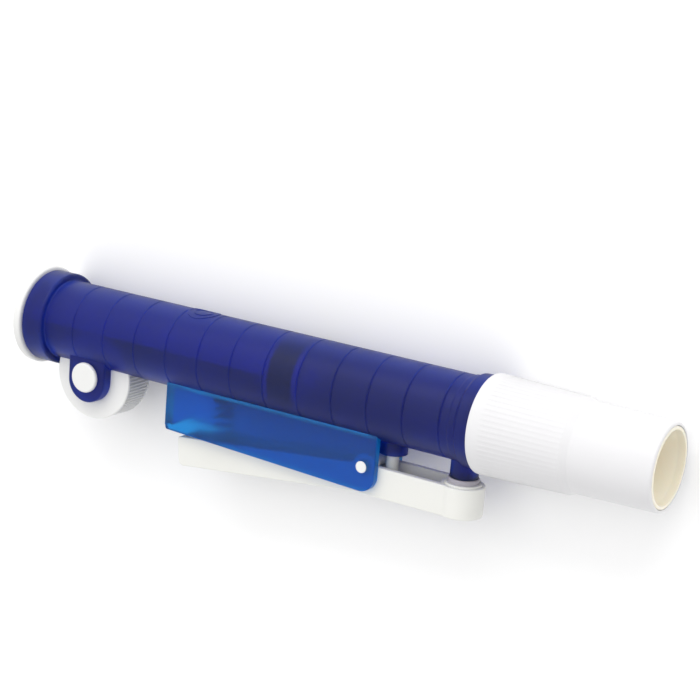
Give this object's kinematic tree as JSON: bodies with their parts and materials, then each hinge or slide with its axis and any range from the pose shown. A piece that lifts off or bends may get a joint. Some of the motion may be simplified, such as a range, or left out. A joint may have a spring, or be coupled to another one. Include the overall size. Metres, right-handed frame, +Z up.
{
  "type": "pipette pump",
  "caption": "Hand-operated pipette pump: ringed blue barrel, thumbwheel-driven rack plunger, sprung release lever over air ports, screw-on knurled nose with soft pipette seal.",
  "frame": {"origin": "centre of the nose's mouth, on the barrel's axis", "axes": "+X runs along the barrel's axis, out of the nose's mouth; +Z points up when the pump lies on its side on a bench; +Y points away from the lever and the thumbwheel"},
  "size_m": [0.1826, 0.0429, 0.0262],
  "materials": {
    "blue_moulding": "satin translucent navy blue polypropylene",
    "azure_plastic": "satin translucent azure polypropylene",
    "white_plastic": "moulded white plastic, satin",
    "warm_white_plastic": "moulded warm white plastic, satin",
    "nose_plastic": "moulded cool white plastic, fine satin",
    "cream_silicone": "matte cream silicone",
    "black_rubber": "matte black rubber",
    "grey_rubber": "matte grey-mauve rubber",
    "spring_steel": "dark drawn steel wire"
  },
  "bodies": {
    "barrel": {"barrel": "blue_moulding", "spigot_o_ring": "black_rubber", "lever_bracket": "azure_plastic", "lever_pivot_pin": "white_plastic", "lever_spring": "spring_steel"},
    "plunger": {"plunger_rod": "white_plastic", "end_cap": "white_plastic", "piston_head": "white_plastic", "piston_seal": "black_rubber", "piston_retainer": "white_plastic"},
    "thumbwheel": {"thumbwheel": "white_plastic", "wheel_axle": "white_plastic", "axle_cap": "white_plastic"},
    "lever": {"release_lever": "warm_white_plastic", "port_valve": "grey_rubber", "drain_stem": "warm_white_plastic", "drain_seal": "grey_rubber"},
    "nose_seal": {"pipette_seal": "cream_silicone"},
    "nose": {"nose_chuck": "nose_plastic"}
  },
  "joints": [
    {"name": "thumbwheel_spin", "type": "hinge", "parent": "barrel", "child": "thumbwheel", "pos_m": [-0.1611, -0.012, 0], "axis": [0, 0, 1], "range_deg": [0, 208.3]},
    {"name": "plunger_slide", "type": "slide", "parent": "barrel", "child": "plunger", "axis": [-1, 0, 0], "range_m": [0, 0.042]},
    {"name": "lever_press", "type": "hinge", "parent": "barrel", "child": "lever", "pos_m": [-0.076, -0.0165, 0], "axis": [0, 0, -1], "range_deg": [0, 9], "stiffness_Nm_per_rad": 0.2, "springref_deg": -17.19, "deforming": ["lever_spring"]},
    {"name": "nose_travel", "type": "slide", "parent": "barrel", "child": "nose_seal", "axis": [1, 0, 0], "range_m": [0, 0.0061]},
    {"name": "nose_turn", "type": "hinge", "parent": "nose_seal", "child": "nose", "pos_m": [-0.03, 0, 0], "axis": [1, 0, 0], "range_deg": [0, 1080]}
  ],
  "couplings": [
    {"joint": "plunger_slide", "follows": "thumbwheel_spin", "m_per_rad": 0.01155},
    {"joint": "nose_travel", "follows": "nose_turn", "m_per_rad": 0.00031831}
  ]
}
